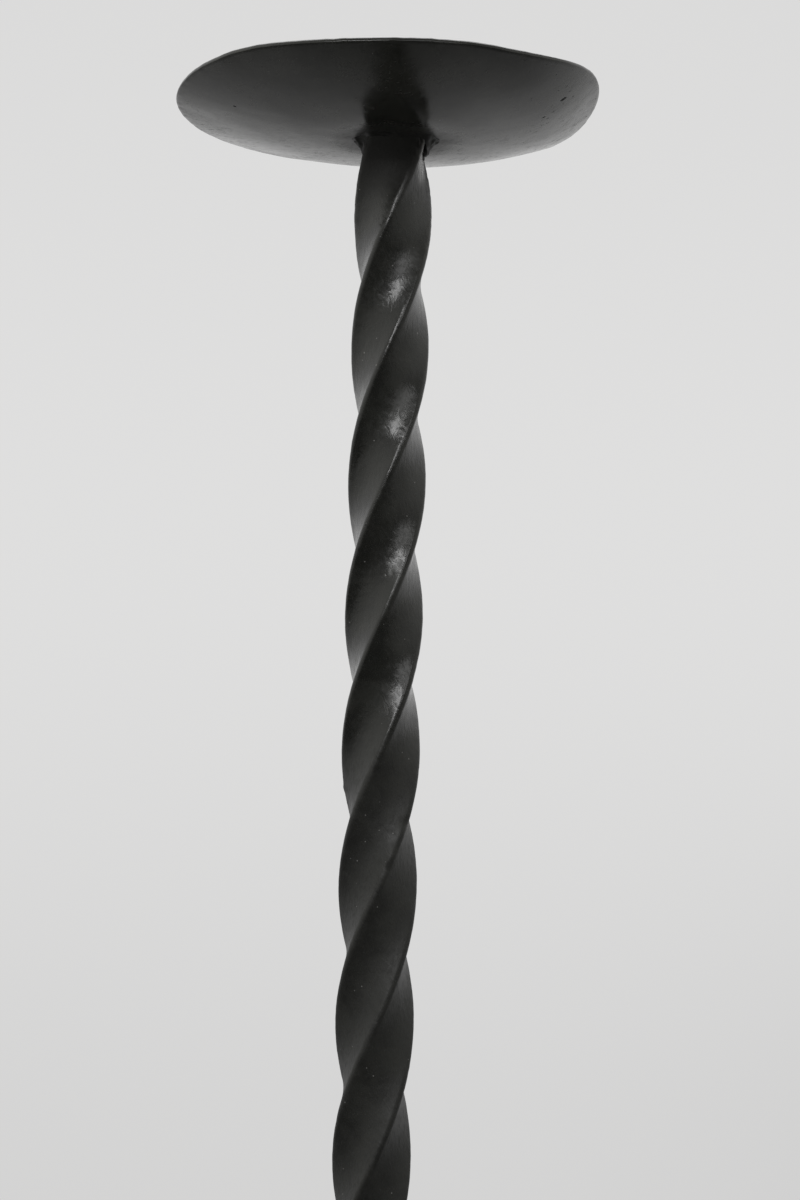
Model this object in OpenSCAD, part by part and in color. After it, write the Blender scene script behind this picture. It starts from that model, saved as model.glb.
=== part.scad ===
// Torchere candle stand in black iron: a shallow drip pan with a pricket on a twisted square
// stem, which four cabriole legs with penny feet carry.
// The origin is on the stem's axis at floor level, +Z is up and -Y is the front. Millimetres.

/* [Stem] */
// Side of the square stem bar
stem_side = 25; // [20:0.5:32]
// Rounding radius of the stem's long edges
stem_edge_r = 1.3; // [0.4:0.1:3]
// Length of the twisted stretch
twist_len = 970; // [600:1:1300]
// Length of bar that makes one full turn
turn_len = 235.4; // [180:0.1:400]
// Straight end left under the pan
stem_top_len = 6; // [6:0.5:20]
// Straight bar between the legs' tops and the twist
stem_shoulder = 10; // [4:0.5:40]
// Straight bar below the point where the legs bend away
stem_drop = 10; // [4:0.5:30]

/* [Drip pan] */
// Diameter of the pan over its rim
pan_d = 188; // [150:1:260]
// Height of the rim's outer edge above the pan's underside
pan_depth = 14.4; // [10:0.1:26]
// Diameter of the flat middle of the pan's underside
pan_floor_d = 44; // [43:1:100]
// Thickness of the pan's sheet
pan_sheet = 2; // [1:0.1:4]
// Leg length of the weld between pan and stem
weld_leg = 4.5; // [2:0.1:6]

/* [Pricket] */
// Height of the pricket's point above the candle rest
spike_len = 34; // [26:0.5:60]
// Diameter of the pricket's straight stretch
spike_d = 8; // [5:0.1:9]
// Length of the straight stretch above the candle rest
spike_straight = 9; // [6:0.5:20]
// Diameter of the pricket's blunt point
spike_tip_d = 1.2; // [0.6:0.1:3]
// Diameter of the shank in the stem
shank_d = 10; // [9:0.1:12]
// Depth of the shank in the stem
shank_len = 30; // [15:0.5:60]
// Diameter of the pricket's conical shoulder at the top of the rest
shoulder_d = 16; // [13:0.1:20]
// Diameter of the candle rest
rest_d = 42; // [30:0.5:43]
// Thickness of the candle rest
rest_t = 4; // [3.5:0.1:8]

/* [Legs] */
// Side of the square leg bar
leg_side = 16; // [12:0.5:20]
// Distance from the stem's axis to the middle of a foot
leg_reach = 200; // [180:1:260]
// Length of a leg that lies against the stem
leg_grip = 92; // [90:0.5:150]
// Centreline radius of the upper bend
upper_bend_r = 110; // [60:1:120]
// Centreline radius of the lower bend
lower_bend_r = 80; // [40:1:85]
// Steepest lean of a leg from the vertical, in degrees
leg_lean = 68; // [45:1:68]
// Least straight heel above the foot
leg_heel = 8; // [4:0.5:30]
// Width of the bevel across a leg's top end
leg_top_bevel = 7; // [2:0.5:10]

/* [Feet] */
// Diameter of a penny foot
foot_d = 46; // [34:1:70]
// Thickness of a penny foot
foot_t = 7; // [5:0.5:12]
// Bevel round a foot's upper edge
foot_bevel = 2.5; // [1:0.1:4]
// Diameter of the leg's tenon in the foot
tenon_d = 10; // [6:0.1:11]

/* [Collars and rivets] */
// Height of a collar
collar_h = 14; // [8:0.5:16]
// Thickness of a collar at its edges
collar_t = 4; // [2.5:0.1:8]
// Bulge of a collar's half-round outer face
collar_bulge = 2.5; // [0.5:0.1:4]
// Diameter of a rivet's shank
rivet_d = 8; // [5:0.1:9]
// Diameter of a rivet's domed head
rivet_head_d = 14; // [10:0.1:15]
// Height of a rivet's domed head
rivet_head_h = 4.5; // [2.5:0.1:6]
// Step in height from one rivet to the next
rivet_step = 14; // [12.5:0.5:15]

/* [Finial] */
// Diameter of the ball under the stem
finial_d = 23; // [14:0.5:24]
// Thickness of the finial's top flange
finial_flange_t = 4; // [2:0.5:8]
// Length of the finial's neck
finial_neck_len = 3; // [1:0.5:8]
// Diameter of the finial's neck
finial_neck_d = 13; // [8:0.5:14]
// Diameter of the bead at the finial's tip
finial_bead_d = 8; // [4:0.5:12]
// Diameter of the finial's tenon in the stem
finial_tenon_d = 10; // [6:0.1:12]
// Length of the finial's tenon in the stem
finial_tenon_len = 20; // [8:0.5:22]

/* [Fits] */
// Radial clearance of a shank, tenon or rivet in its hole
hole_gap = 0.15; // [0.05:0.05:0.3]
// Clearance at a hole's bottom and round the collars
end_gap = 0.3; // [0.1:0.05:0.5]

/* [Hidden] */

$fn = 64;
cut = 1;                  // overshoot of a cutting tool past the face that it opens
quarter = 90;
edge_steps = 2;           // straight steps round one of the stem's edges
slice_angle = 3.75;       // most twist from one cross-section of the stem to the next
arc_steps = 12;           // straight steps along a profile's arc
lean_steps = 14;          // straight steps along each of a leg's bends
round_fn = 96;            // facets round a collar, for views only
pan_fn = 144;             // facets round the pan, for views only
rivet_count = 4;

// Directions of the legs, in degrees from +X
leg_front_right_az = -45;
leg_back_right_az = 45;
leg_back_left_az = 135;
leg_front_left_az = -135;
first_pair_az = leg_back_right_az;
second_pair_az = leg_back_left_az;

// Legs, from the floor up
lean_step = leg_lean / lean_steps;
leg_r = stem_side / 2 + leg_side / 2;
leg_outer_r = stem_side / 2 + leg_side;
bends_out = (upper_bend_r + lower_bend_r) * (1 - cos(leg_lean));
slope_len = (leg_reach - leg_r - bends_out) / sin(leg_lean);
leg_rise = (upper_bend_r + lower_bend_r) * sin(leg_lean) + slope_len * cos(leg_lean);
bend_z = ceil(foot_t + leg_heel + leg_rise);   // a whole number, which the heel makes up
heel_z = bend_z - leg_rise;
leg_top_z = bend_z + leg_grip;

// Stem, from its lower end up
stem_z = bend_z - stem_drop;
twist_z = leg_top_z + stem_shoulder;
twist_top_z = twist_z + twist_len;
pan_z = twist_top_z + stem_top_len;
twist_turn = 360 * twist_len / turn_len;
stem_foot_az = first_pair_az;
stem_top_az = stem_foot_az + twist_turn;

// Drip pan: a flat middle and one arc up to the rim
pan_r = pan_d / 2;
pan_floor_r = pan_floor_d / 2;
pan_arc_run = pan_r - pan_floor_r;
pan_arc_r = (pow(pan_arc_run, 2) + pow(pan_depth, 2)) / (2 * pan_depth);
pan_rim_angle = asin(pan_arc_run / pan_arc_r);

// Candle rest and pricket
rest_z = pan_z + pan_sheet;
rest_top_z = rest_z + rest_t;
shoulder_drop = (shoulder_d - shank_d) / 2;

// Collars and rivets along the grip
collar_r = norm([leg_outer_r, leg_side / 2]) + end_gap;
upper_collar_z = leg_top_z - leg_top_bevel - collar_h / 2;
lower_collar_z = bend_z + collar_h / 2;
rivet_mid_z = (upper_collar_z + lower_collar_z) / 2;
rivet_first_z = rivet_mid_z - rivet_step * (rivet_count - 1) / 2;

// Square bar section with its edges rounded by a few short steps
module stem_section() {
    corner = stem_side / 2 - stem_edge_r;
    polygon([for (side = [0 : 3], step = [0 : edge_steps])
        let (turn = side * quarter, swing = turn + step * quarter / edge_steps)
        [corner * (cos(turn) - sin(turn)) + stem_edge_r * cos(swing),
         corner * (sin(turn) + cos(turn)) + stem_edge_r * sin(swing)]]);
}

// A round hole or pin that starts at the given point and runs along +Z
module rod(d, z, h) translate([0, 0, z]) cylinder(d = d, h = h);

// The hole of one rivet, through both legs and the stem
module rivet_hole(i) {
    hole_half = leg_outer_r + cut;
    translate([0, 0, rivet_z(i)]) rotate(rivet_az(i)) rotate([0, quarter, 0])
        rod(rivet_d + 2 * hole_gap, -hole_half, 2 * hole_half);
}

function rivet_z(i) = rivet_first_z + i * rivet_step;
function rivet_az(i) = i % 2 == 0 ? first_pair_az : second_pair_az;

module stem() color("#2b2b2a") difference() {
    union() {
        translate([0, 0, stem_z]) rotate(stem_foot_az)
            linear_extrude(twist_z - stem_z) stem_section();
        translate([0, 0, twist_z]) rotate(stem_foot_az)
            linear_extrude(twist_len, twist = -twist_turn, slices = ceil(twist_turn / slice_angle),
                           segments = 4 * (edge_steps + 1)) stem_section();
        translate([0, 0, twist_top_z]) rotate(stem_top_az)
            linear_extrude(stem_top_len) stem_section();
    }
    rod(shank_d + 2 * hole_gap, pan_z - shank_len - end_gap, shank_len + end_gap + cut);
    rod(finial_tenon_d + 2 * hole_gap, stem_z - cut, finial_tenon_len + end_gap + cut);
    for (i = [0 : rivet_count - 1]) rivet_hole(i);
}

module drip_pan() color("#3a3a39") translate([0, 0, pan_z])
    rotate_extrude($fn = pan_fn) {
        hole_r = shank_d / 2 + hole_gap;
        inner_r = pan_arc_r - pan_sheet;
        polygon(concat(
            [[hole_r, 0]],
            [for (i = [0 : arc_steps]) let (a = pan_rim_angle * i / arc_steps)
                [pan_floor_r + pan_arc_r * sin(a), pan_arc_r * (1 - cos(a))]],
            [for (i = [arc_steps : -1 : 0]) let (a = pan_rim_angle * i / arc_steps)
                [pan_floor_r + inner_r * sin(a), pan_arc_r - inner_r * cos(a)]],
            [[hole_r, pan_sheet]]));
    }

// Weld bead round the top of the stem, under the pan: a quarter-round section that runs round the
// square with mitred corners, which is a turn in four straight steps
module pan_weld() color("#30302f") translate([0, 0, pan_z]) rotate(stem_top_az + quarter / 2)
    rotate_extrude($fn = 4)
        polygon(concat(
            [[corner_r(0), 0]],
            [for (i = [0 : arc_steps]) let (a = quarter * i / arc_steps)
                [corner_r(weld_leg * cos(a)), -weld_leg * sin(a)]]));

// Distance from the axis to the corner of a square that lies this far outside the stem's faces
function corner_r(out) = sqrt(2) * (stem_side / 2 + out);

// Plate that the candle stands on, countersunk for the pricket's shoulder
module candle_rest() color("#2f2f2e") difference() {
    rod(rest_d, rest_z, rest_t);
    rod(shank_d + 2 * hole_gap, rest_z - cut, rest_t + 2 * cut);
    translate([0, 0, rest_top_z - shoulder_drop])
        cylinder(d1 = shank_d + 2 * hole_gap, d2 = shoulder_d + 2 * hole_gap, h = shoulder_drop);
    rod(shoulder_d + 2 * hole_gap, rest_top_z, cut);
}

module pricket() color("#4a4a48") {
    straight_top_z = rest_top_z + spike_straight;
    rod(shank_d, pan_z - shank_len, rest_top_z - shoulder_drop - pan_z + shank_len);
    translate([0, 0, rest_top_z - shoulder_drop])
        cylinder(d1 = shank_d, d2 = shoulder_d, h = shoulder_drop);
    rod(spike_d, rest_top_z, spike_straight);
    translate([0, 0, straight_top_z])
        cylinder(d1 = spike_d, d2 = spike_tip_d, h = spike_len - spike_straight);
}

// Half-round band round the legs and the stem
module collar(z) color("#2d2d2c") translate([0, 0, z]) rotate_extrude($fn = round_fn)
    polygon(concat(
        [[collar_r, -collar_h / 2]],
        [for (i = [0 : arc_steps]) let (a = 180 * i / arc_steps - quarter)
            [collar_r + collar_t + collar_bulge * cos(a), sin(a) * collar_h / 2]],
        [[collar_r, collar_h / 2]]));

module finial() color("#2b2b2a") {
    flange_d = stem_side - 2 * stem_edge_r;
    neck_z = stem_z - finial_flange_t;
    neck_sink = finial_neck_d / 8;     // depth to which the neck runs into the ball
    bead_out = finial_bead_d / 4;      // how far the bead's middle lies below the ball
    ball_z = neck_z - finial_neck_len - finial_d / 2 + neck_sink;
    bead_z = ball_z - finial_d / 2 - bead_out;
    rod(finial_tenon_d, stem_z, finial_tenon_len);
    rod(flange_d, neck_z, finial_flange_t);
    rod(finial_neck_d, ball_z, neck_z - ball_z);
    translate([0, 0, ball_z]) sphere(d = finial_d);
    translate([0, 0, bead_z]) sphere(d = finial_bead_d);
}

// Middle line of a leg from its top to its foot: distance out, height and lean from the vertical
leg_line = concat(
    [for (a = [0 : lean_step : leg_lean])
        [leg_r + upper_bend_r * (1 - cos(a)), bend_z - upper_bend_r * sin(a), a]],
    [for (a = [leg_lean : -lean_step : 0])
        [leg_reach - lower_bend_r * (1 - cos(a)), heel_z + lower_bend_r * sin(a), a]],
    [[leg_reach, foot_t, 0]]);

// Side view of a leg: the middle line widened to the bar, with a bevel across the top
module leg_outline() {
    half = leg_side / 2;
    polygon(concat(
        [[leg_r - half, leg_top_z], [leg_outer_r - leg_top_bevel, leg_top_z],
         [leg_outer_r, leg_top_z - leg_top_bevel]],
        [for (p = leg_line) [p[0] + half * cos(p[2]), p[1] + half * sin(p[2])]],
        [for (i = [len(leg_line) - 1 : -1 : 0]) let (p = leg_line[i])
            [p[0] - half * cos(p[2]), p[1] - half * sin(p[2])]]));
}

module leg(az) color("#2b2b2a") difference() {
    rotate(az) {
        rotate([quarter, 0, 0]) translate([0, 0, -leg_side / 2])
            linear_extrude(leg_side) leg_outline();
        translate([leg_reach, 0, 0]) rod(tenon_d, end_gap, foot_t - end_gap);
    }
    for (i = [0 : rivet_count - 1]) if ((az - rivet_az(i)) % 180 == 0) rivet_hole(i);
}

module foot(az) color("#2b2b2a") rotate(az) translate([leg_reach, 0, 0]) difference() {
    union() {
        rod(foot_d, 0, foot_t - foot_bevel);
        translate([0, 0, foot_t - foot_bevel])
            cylinder(d1 = foot_d, d2 = foot_d - 2 * foot_bevel, h = foot_bevel);
    }
    rod(tenon_d + 2 * hole_gap, -cut, foot_t + 2 * cut);
}

// Domed head whose flat side lies on z = 0
module rivet_head() {
    dome_r = (pow(rivet_head_d / 2, 2) + pow(rivet_head_h, 2)) / (2 * rivet_head_h);
    intersection() {
        translate([0, 0, rivet_head_h - dome_r]) sphere(r = dome_r);
        rod(2 * dome_r, 0, 2 * dome_r);
    }
}

module leg_rivet(i) color("#333332") translate([0, 0, rivet_z(i)]) rotate(rivet_az(i)) {
    rotate([0, quarter, 0]) rod(rivet_d, -leg_outer_r, 2 * leg_outer_r);
    for (side = [0, 1]) rotate(180 * side)
        translate([leg_outer_r, 0, 0]) rotate([0, quarter, 0]) rivet_head();
}

stem();
drip_pan();
pan_weld();
candle_rest();
pricket();
collar(upper_collar_z);  // upper_collar
collar(lower_collar_z);  // lower_collar
finial();
leg(leg_front_right_az);  // leg_front_right
leg(leg_back_right_az);  // leg_back_right
leg(leg_back_left_az);  // leg_back_left
leg(leg_front_left_az);  // leg_front_left
foot(leg_front_right_az);  // foot_front_right
foot(leg_back_right_az);  // foot_back_right
foot(leg_back_left_az);  // foot_back_left
foot(leg_front_left_az);  // foot_front_left
leg_rivet(0);  // leg_rivet_1
leg_rivet(1);  // leg_rivet_2
leg_rivet(2);  // leg_rivet_3
leg_rivet(3);  // leg_rivet_4
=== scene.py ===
"""Looks of a torchere candle stand in black iron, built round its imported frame.

Everything is in metres, in the part's own frame: the origin is on the stem's axis at floor
level, +Z is up and -Y is the front. Each piece replaces the CAD node that it stands for.
"""

import math

import bpy
import numpy as np
from mathutils import Matrix, Vector


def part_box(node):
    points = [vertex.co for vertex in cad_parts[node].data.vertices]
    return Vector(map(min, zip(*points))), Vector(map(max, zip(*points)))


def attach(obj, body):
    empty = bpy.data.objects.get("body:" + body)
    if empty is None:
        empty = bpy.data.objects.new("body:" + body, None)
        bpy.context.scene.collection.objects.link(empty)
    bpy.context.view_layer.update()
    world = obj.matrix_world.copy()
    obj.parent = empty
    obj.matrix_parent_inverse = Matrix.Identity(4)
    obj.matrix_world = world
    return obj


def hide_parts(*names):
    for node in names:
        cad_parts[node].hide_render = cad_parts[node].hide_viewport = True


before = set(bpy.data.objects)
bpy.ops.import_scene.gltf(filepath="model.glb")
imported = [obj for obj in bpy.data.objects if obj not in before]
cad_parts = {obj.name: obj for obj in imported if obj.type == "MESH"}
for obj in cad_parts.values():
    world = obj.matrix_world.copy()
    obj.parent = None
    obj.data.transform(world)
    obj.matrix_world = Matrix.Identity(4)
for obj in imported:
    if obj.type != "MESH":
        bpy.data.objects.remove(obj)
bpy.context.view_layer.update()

scene = bpy.context.scene
MM = 0.001
BODY = "root"

# ---- sizes, shared with the CAD model
STEM_SIDE = 25 * MM
STEM_EDGE_R = 1.3 * MM
ROLLED_SIDE = 25.8 * MM            # the twisted part is a little fuller, with softer edges
ROLLED_EDGE_R = 2.8 * MM
TURN_LEN = 235.4 * MM              # bar that makes one full turn
STEM_SHOULDER = 10 * MM            # straight bar between the legs' tops and the twist
PAN_R = 94 * MM
PAN_DEPTH = 14.4 * MM
PAN_FLOOR_R = 22 * MM
PAN_SHEET = 2 * MM
HOLE_R = 5.15 * MM
WELD_LEG = 4.5 * MM
REST_R = 21 * MM
REST_SEAT_R = 8.15 * MM            # widest part of the countersink in the candle rest
SHANK_R = 5 * MM
SHANK_LEN = 30 * MM
SHOULDER_R = 8 * MM
SPIKE_R = 4 * MM
SPIKE_STRAIGHT = 9 * MM
SPIKE_TIP_R = 0.6 * MM
LEG_SIDE = 16 * MM
LEG_EDGE_R = 1.3 * MM
LEG_REACH = 200 * MM
LEG_LEAN = math.radians(68)
LEG_DROP = 10 * MM                 # height of the stem's lower end under the upper bend's start
LEG_TOP_BEVEL = 7 * MM
UPPER_BEND_R = 110 * MM
LOWER_BEND_R = 80 * MM
TENON_R = 5 * MM
TENON_SHORT = 0.3 * MM             # gap under the tenon in the foot
FOOT_R = 22.95 * MM                # a hair under the CAD foot, for the hammered rim
FOOT_BEVEL = 2.5 * MM
COLLAR_T = 4 * MM
COLLAR_BULGE = 2.5 * MM
RIVET_R = 4 * MM
RIVET_HEAD_R = 7 * MM
RIVET_HEAD_H = 4.5 * MM
FINIAL_R = 11.5 * MM
FINIAL_FLANGE_R = 11.2 * MM
FINIAL_FLANGE_T = 4 * MM
FINIAL_NECK_R = 6.5 * MM
FINIAL_NECK_LEN = 3 * MM
FINIAL_BEAD_R = 4 * MM
FINIAL_TENON_LEN = 20 * MM

CORNERS = {"front_right": -45, "back_right": 45, "back_left": 135, "front_left": -135}
RIVETS = {"leg_rivet_1": 45, "leg_rivet_2": 135, "leg_rivet_3": 45, "leg_rivet_4": 135}
STEM_FOOT_AZ = math.radians(CORNERS["back_right"])
COLLAR_SEEDS = {"upper_collar": 71, "lower_collar": 75}
FIRST_RIVET_SEED = 90

# ---- places, read from the frame
STEM_LOW, PAN_Z = (corner.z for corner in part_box("stem"))
LEG_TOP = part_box("leg_front_right")[1].z
TWIST_LOW = LEG_TOP + STEM_SHOULDER
REST_LOW, REST_TOP = (corner.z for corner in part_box("candle_rest"))
SPIKE_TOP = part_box("pricket")[1].z
FINIAL_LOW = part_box("finial")[0].z
FOOT_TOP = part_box("foot_front_right")[1].z

# ---- the photograph's view
PHOTO_H = 1200
FOCAL_PX = 2054                    # focal length in pixels of the 800 x 1200 frame
SENSOR_MM = 36
CAM_DISTANCE = 0.900               # from the stem's axis, along -Y
CAM_BELOW_PAN = 0.2410
CAM_RIGHT = 0.0069
CAM_PITCH = math.radians(2.40)
CAM_ROLL = math.radians(1.302)

# ---- the pan's hand-made shape
# The right end was knocked up: beyond a line square to this azimuth the sheet curls upwards
FOLD_AZ = -11
FOLD_FROM = 82 * MM                # distance of the curl's middle from the stem's axis
FOLD_SOFT = 22 * MM                # half of the length over which it bends
FOLD_SLOPE = 0.67
FOLD_IN = 0.155                    # how far the curled end comes in, as a share of its length
# The front right of the rim rises a little; azimuths and half widths are in degrees
RISE_AZ = -63
RISE_HALF = 24
RISE_UP = 1.75 * MM
# The front left has a small upward kink
KINK_AZ = -130
KINK_HALF = 15
KINK_UP = 1.1 * MM
# The back left sags
SAG_AZ = 145
SAG_HALF = 50
SAG_DOWN = 3 * MM
BEND_POWER = 5                     # how fast these three fade from the rim to the middle
PAN_SHIFT_X = -2.5 * MM            # the rim sits a little off the stem's axis
PAN_TILT = math.radians(0.5)       # and leans a little to the right
# Places between middle and rim are shares of the pan's radius from here on
SETTLE = (0.22, 0.55)              # shift, tilt and waves set in between these
BACK_BELLY = 0.4 * MM              # how much fuller the back half is than the front
BACK_FROM = -10 * MM
BACK_FULL = 40 * MM
BELLY_AT = 0.68
BELLY_HALF = 0.22
BULGE_AZ = 129                     # with a small bulge in it on the left
BULGE_HALF = 7
BULGE_AT = 0.86
BULGE_SPAN = 0.12
BULGE_OUT = 0.5 * MM
# The welding heat drew a shallow crease into the sheet on each side of the stem
CREASE_AZIMUTHS = (185, 5)
CREASE_HALF = 5 * MM
CREASE_DEPTH = 0.12 * MM
CREASE_START = (0.14, 0.20)
CREASE_FADE = (0.22, 0.38)
# Hammer waves: height, size and seed
PAN_WAVES = (0.22 * MM, 34 * MM, 5)
PAN_RIPPLES = (0.05 * MM, 11 * MM, 6)
RIM_NICKS = (0.12 * MM, 3.5 * MM, 8)
RIM_STARTS = 0.97

# ---- marks
# A band of pits runs across the pan's right side, and one larger pit lies on each side
PIT_BAND = (69 * MM, -25 * MM, 0)
PIT_BAND_TURN = math.radians(-70)
PIT_BAND_SIZE = (20 * MM, 4.5 * MM, 1)
RIGHT_PIT = (72 * MM, -30 * MM, 0)
RIGHT_PIT_R = 1.5 * MM
LEFT_PIT = (-69 * MM, -25 * MM, 0)
LEFT_PIT_R = 0.9 * MM
# Two nicks in the stem's front edge and a burr beside its left one, measured down from the pan
NICK_DROPS = (300 * MM, 319 * MM)
NICK_AZ = -60                      # the front edge is the one nearest to this azimuth
NICK_R = 2 * MM
NICK_DEPTH = 0.7 * MM
BURR_DROP = 286 * MM
BURR_AZ = 165
BURR_R = 1.8 * MM
BURR_HEIGHT = 0.6 * MM
DUST_TOP = 60 * MM                 # the dustiest stretch of the stem, measured down from the pan
DUST_LOW = 150 * MM
DUST_FADE = 20 * MM
DULL_FROM = 250 * MM               # below this the stem's paint is duller, measured likewise
DULL_FULL = 290 * MM
BURNT_FROM = 14 * MM               # above this the weld's heat left the paint rough
BURNT_END = 34 * MM
SCORCH_FROM = 17 * MM              # and so it did on the pan, this far from the stem's axis
SCORCH_END = 36 * MM
DULL_TIP = 87 * MM                 # beyond this to the right the pan's end is duller
DULL_TIP_FADE = 3 * MM
GRIME_FROM = 30 * MM               # grime grows from here to the right under the pan
GRIME_FULL = 85 * MM
# A patch beside the weld was ground, and its grinding lines are painted light grey as a painted
# highlight: its place, measured down from the pan, and its reach
GROUND_X = 14 * MM
GROUND_Y = -6 * MM
GROUND_DROP = 9 * MM
GROUND_REACH = (9 * MM, 8 * MM, 13 * MM)

# ---- hammer marks
# Dents: size, depth and seed. Collars and rivets have a seed each
REST_DENTS = (6 * MM, 0.2 * MM, 21)
PRICKET_DENTS = (4 * MM, 0.25 * MM, 22)
FOOT_DENTS = (6 * MM, 0.35 * MM, 60)
FINIAL_DENTS = (6 * MM, 0.3 * MM, 81)
COLLAR_DENTS = (7 * MM, 0.4 * MM)
RIVET_DENTS = (3.4 * MM, 0.35 * MM)
# Waves along the bars: size, seed and height
STEM_WAVES = (17 * MM, 3)
STEM_WAVE_HEIGHT = 0.09 * MM
LEG_WAVES = (15 * MM, 40)
LEG_WAVE_HEIGHT = 0.13 * MM
# Small notches in the stem's edges (size and seed), deeper close under the pan
EDGE_NOTCHES = (2.2 * MM, 31)
EDGE_DEPTH = 0.05 * MM
TOP_EDGE_MORE = 0.12 * MM
TOP_EDGE_FROM = 60 * MM
TOP_EDGE_FULL = 35 * MM


def make_camera():
    data = bpy.data.cameras.new("photo_camera")
    data.sensor_width = SENSOR_MM
    data.lens = FOCAL_PX / PHOTO_H * SENSOR_MM
    data.clip_end = 60
    camera = bpy.data.objects.new("photo_camera", data)
    place = Matrix.Translation((CAM_RIGHT, -CAM_DISTANCE, PAN_Z - CAM_BELOW_PAN))
    pitch = Matrix.Rotation(math.pi / 2 + CAM_PITCH, 4, "X")
    camera.matrix_world = place @ pitch @ Matrix.Rotation(CAM_ROLL, 4, "Z")
    scene.collection.objects.link(camera)
    scene.camera = camera


# ---- noise and meshes
HASH_PRIMES = (73856093, 19349663, 83492791)
HASH_MIXER = 1274126177
HASH_TOP = 0xFFFF
SEED_SHIFT = 17.13                 # cells by which the pattern moves from one seed to the next
SHORT_SIDE_PARTS = 2.2             # an eased corner takes at most one part in this many of a side
EDGE_WEAR_FADE = 12                # how fast an edge's wear fades along a flat


def lattice_noise(points, cell, seed):
    """Smooth noise from -1 to 1 at each point, with features about one cell wide."""
    p = np.asarray(points, float) / cell + seed * SEED_SHIFT
    base = np.floor(p).astype(np.int64)
    t = p - base
    t = t * t * t * (t * (t * 6 - 15) + 10)
    total = np.zeros(len(p))
    for corner in range(8):
        step = np.array([corner & 1, corner >> 1 & 1, corner >> 2 & 1])
        x, y, z = ((base + step) * HASH_PRIMES).T
        h = x ^ y ^ z ^ seed
        h = (h ^ (h >> 13)) * HASH_MIXER & 0xFFFFFFFF
        h = (h ^ (h >> 16)) & HASH_TOP
        weight = np.prod(np.where(step == 1, t, 1 - t), axis=1)
        total += weight * (h / (HASH_TOP / 2) - 1)
    return total


def bell(distance, width):
    return np.exp(-(distance / width) ** 2)


def ease(value, low, high):
    t = np.clip((value - low) / (high - low), 0, 1)
    return t * t * (3 - 2 * t)


def angle_off(azimuth, middle):
    """How far each azimuth is from the middle one, from -180 to 180 degrees."""
    return (azimuth - middle + 180) % 360 - 180


def past(value, soft):
    """The value where it is over 0 and 0 under it, with a round bend this far to both sides."""
    near = np.clip(value + soft, 0, 2 * soft)
    return near ** 2 / (4 * soft) + np.maximum(value - soft, 0)


def link(name, vertices, faces):
    mesh = bpy.data.meshes.new(name)
    mesh.from_pydata([tuple(v) for v in vertices], [], faces)
    mesh.update()
    mesh.shade_smooth()
    piece = bpy.data.objects.new(name, mesh)
    scene.collection.objects.link(piece)
    return piece


def skin(name, rings, ends="fan", closed=False):
    """A mesh through rings of equally many points, closed at both ends or run round in a loop."""
    rings = np.asarray(rings, float)
    count, sides = rings.shape[:2]
    vertices = list(rings.reshape(-1, 3))
    faces = []
    for i in range(count if closed else count - 1):
        low, high = i * sides, (i + 1) % count * sides
        for j in range(sides):
            k = (j + 1) % sides
            faces.append((low + j, low + k, high + k, high + j))
    if not closed:
        for first, flip in ((0, True), ((count - 1) * sides, False)):
            cap = cap_fan(vertices, first, sides) if ends == "fan" else cap_strip(first, sides)
            faces += [tuple(reversed(face)) if flip else face for face in cap]
    return link(name, vertices, faces)


def cap_fan(vertices, first, sides):
    """Triangles from a ring to its middle."""
    vertices.append(np.mean(vertices[first:first + sides], axis=0))
    middle = len(vertices) - 1
    return [(first + j, first + (j + 1) % sides, middle) for j in range(sides)]


def cap_strip(first, sides):
    """Quads straight across a ring, between its two halves."""
    pairs = [(first + i, first + sides - 1 - i) for i in range(sides // 2)]
    return [(a, b, d, c) for (a, c), (b, d) in zip(pairs, pairs[1:])]


def turned(name, profile, sides, closed=False, at=(0, 0)):
    """A turned piece from distances and heights that run from bottom to top on the outside."""
    turn = 2 * math.pi * np.arange(sides) / sides
    rings = [np.column_stack([at[0] + r * np.cos(turn), at[1] + r * np.sin(turn),
                              np.full(sides, z)]) for r, z in profile]
    return skin(name, rings, closed=closed)


def rounded(points, cut, steps=4):
    """The polyline with each corner eased by a curve that starts this far before it, or a
    little before the middle of a short side."""
    p = [np.array(q, float) for q in points]
    out = [p[0]]
    for before, here, after in zip(p, p[1:], p[2:]):
        back, on = np.linalg.norm(before - here), np.linalg.norm(after - here)
        reach = min(cut, back / SHORT_SIDE_PARTS, on / SHORT_SIDE_PARTS)
        a = here + (before - here) / back * reach
        b = here + (after - here) / on * reach
        out += [a * (1 - t) ** 2 + here * 2 * t * (1 - t) + b * t * t
                for t in np.linspace(0, 1, steps + 1)]
    return out + [p[-1]]


def arc(middle, radius, start, end, steps):
    """Points of an arc in a profile, by angles in degrees from the outward direction."""
    angles = np.radians(np.linspace(start, end, steps + 1))
    return [(middle[0] + radius * math.cos(a), middle[1] + radius * math.sin(a)) for a in angles]


def dense(points, step):
    """The polyline with points added, so that none are further apart than the step."""
    out = [np.array(points[0], float)]
    for point in points[1:]:
        start, end = out[-1], np.array(point, float)
        parts = max(1, math.ceil(np.linalg.norm(end - start) / step))
        out += [start + (end - start) * i / parts for i in range(1, parts + 1)]
    return out


def points_of(piece, kind="co"):
    """The places of a piece's vertices, or their normals."""
    out = np.empty(len(piece.data.vertices) * 3)
    piece.data.vertices.foreach_get(kind, out)
    return out.reshape(-1, 3)


def place_points(piece, points):
    piece.data.vertices.foreach_set("co", points.ravel())
    piece.data.update()


def move_out(piece, amount):
    """Moves each vertex along its normal by its own amount."""
    place_points(piece, points_of(piece) + points_of(piece, "normal") * amount[:, None])


def waves(points, cell, seed):
    """The slight waves that the hammer and the rolls leave in bar, from about -1 to 1."""
    return lattice_noise(points, cell, seed) + 0.45 * lattice_noise(points, cell / 3, seed + 1)


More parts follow.
